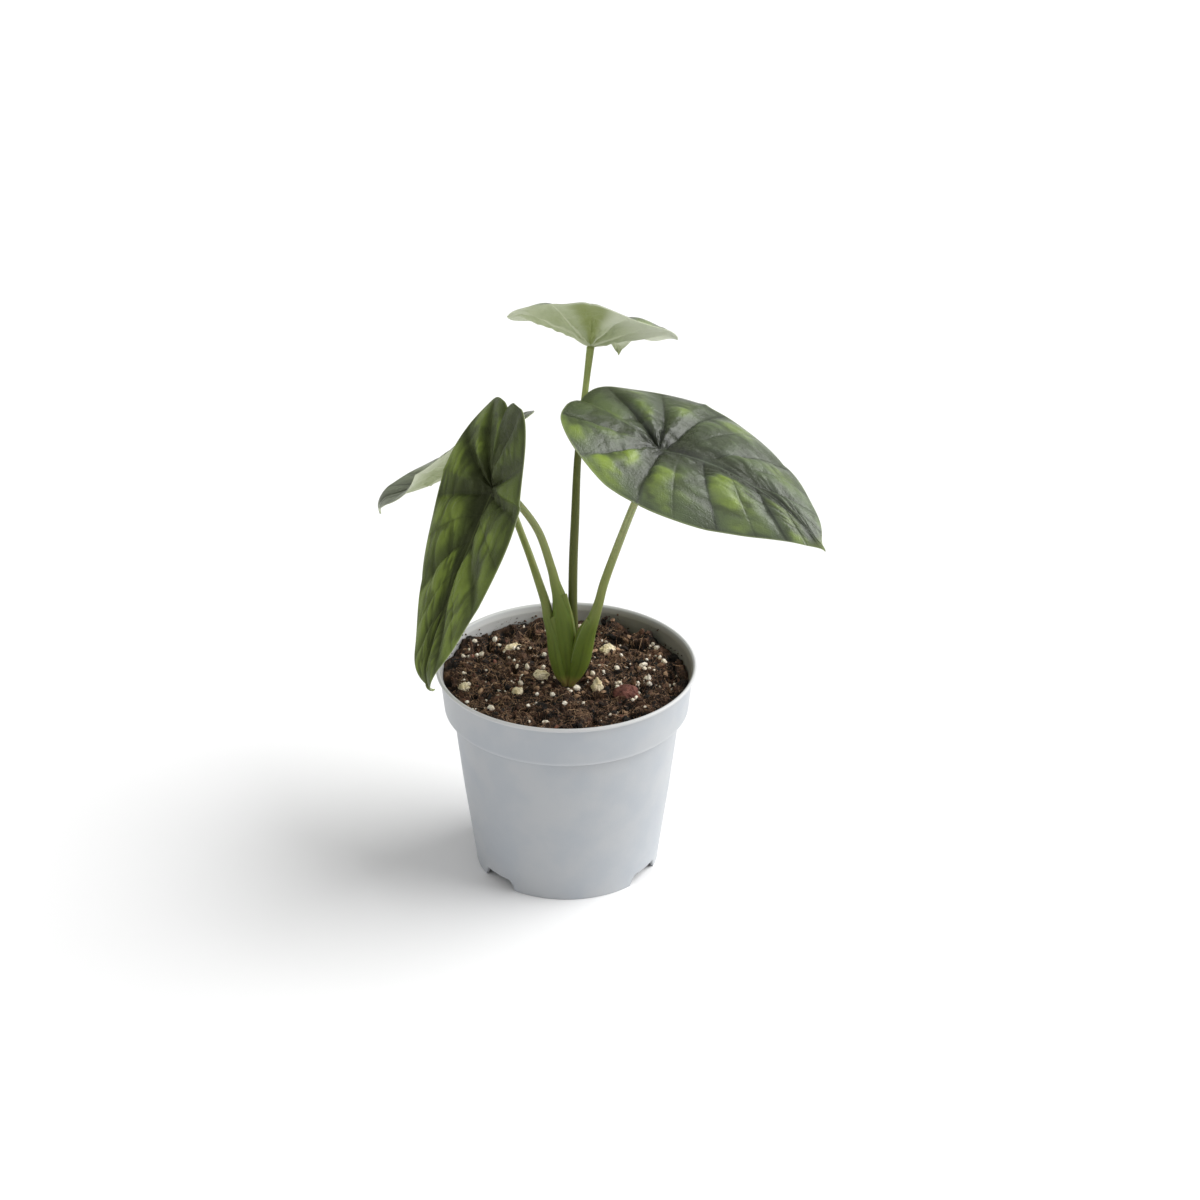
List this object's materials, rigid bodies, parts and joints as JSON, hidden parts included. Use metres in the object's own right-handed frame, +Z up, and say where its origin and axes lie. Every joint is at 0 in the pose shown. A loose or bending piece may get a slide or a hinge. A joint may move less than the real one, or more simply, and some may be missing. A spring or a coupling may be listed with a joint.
{
  "type": "potted_aroid_plant",
  "caption": "Young alocasia sinuata with puckered shield-shaped leaves on sheathed stalks, in a round tapered nursery pot of potting mix.",
  "frame": {"origin": "centre of the pot's underside, on the surface that the pot stands on", "axes": "+Z up along the pot's axis, -Y towards the viewer of the front, +X to the viewer's right"},
  "size_m": [0.2019, 0.1621, 0.2834],
  "materials": {
    "pot_plastic": "light blue-grey, fine grain",
    "soil": "dark damp bark and peat mix",
    "pumice": "cream, porous",
    "bark": "reddish brown, rough",
    "stalk": "green, smooth, slightly waxy",
    "leaf": "dark green with pale patches, leathery sheen"
  },
  "bodies": {
    "root": {"pot": "pot_plastic", "soil": "soil", "crown": "stalk", "petiole_top": "stalk", "petiole_right": "stalk", "petiole_left": "stalk", "petiole_back": "stalk", "blade_top": "leaf", "blade_right": "leaf", "blade_left": "leaf", "blade_back": "leaf", "pumice_1": "pumice", "pumice_2": "pumice", "pumice_3": "pumice", "pumice_4": "pumice", "pumice_5": "pumice", "pumice_6": "pumice", "bark_chip": "bark"}
  },
  "joints": []
}
